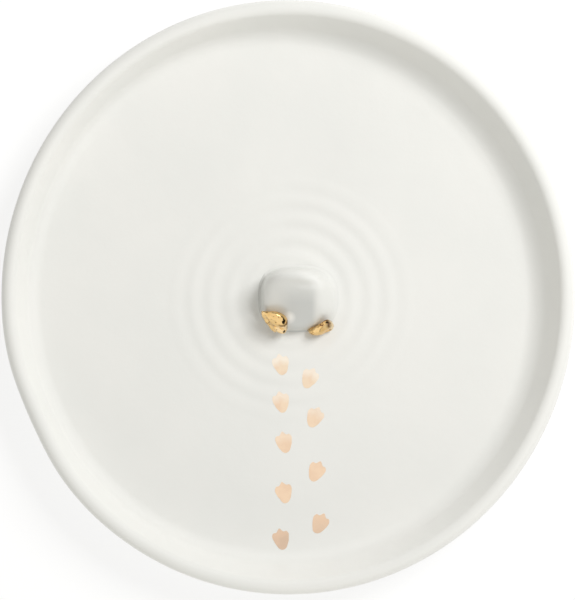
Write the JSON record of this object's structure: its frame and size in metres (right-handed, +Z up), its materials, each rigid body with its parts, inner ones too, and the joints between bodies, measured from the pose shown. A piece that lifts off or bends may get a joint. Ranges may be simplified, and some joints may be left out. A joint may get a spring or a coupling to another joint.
{
  "type": "decorative dish",
  "caption": "Round shallow ceramic tray with a thick rounded lip, raised ripples in the floor, an upended duck's rump with gold webbed feet in the middle, and a trail of webbed prints.",
  "frame": {"origin": "under the middle of the rim's outline, in the plane of the foot ring that the dish stands on", "axes": "+Z up, out of the dish; -Y towards the near rim, where the trail of prints starts; +Y towards the duck's tail; +X to the right as seen from above with the trail at the bottom"},
  "size_m": [0.1698, 0.1758, 0.0216],
  "materials": {
    "white_glaze": "glossy off-white glaze over ceramic",
    "bright_gold": "bright gold lustre over ceramic",
    "rose_gold": "matt rose-gold lustre, fired on the glaze"
  },
  "bodies": {
    "root": {"dish": "white_glaze", "duck_rump": "white_glaze", "left_foot": "bright_gold", "right_foot": "bright_gold", "left_print_1": "rose_gold", "left_print_2": "rose_gold", "left_print_3": "rose_gold", "left_print_4": "rose_gold", "left_print_5": "rose_gold", "right_print_1": "rose_gold", "right_print_2": "rose_gold", "right_print_3": "rose_gold", "right_print_4": "rose_gold"}
  },
  "joints": []
}
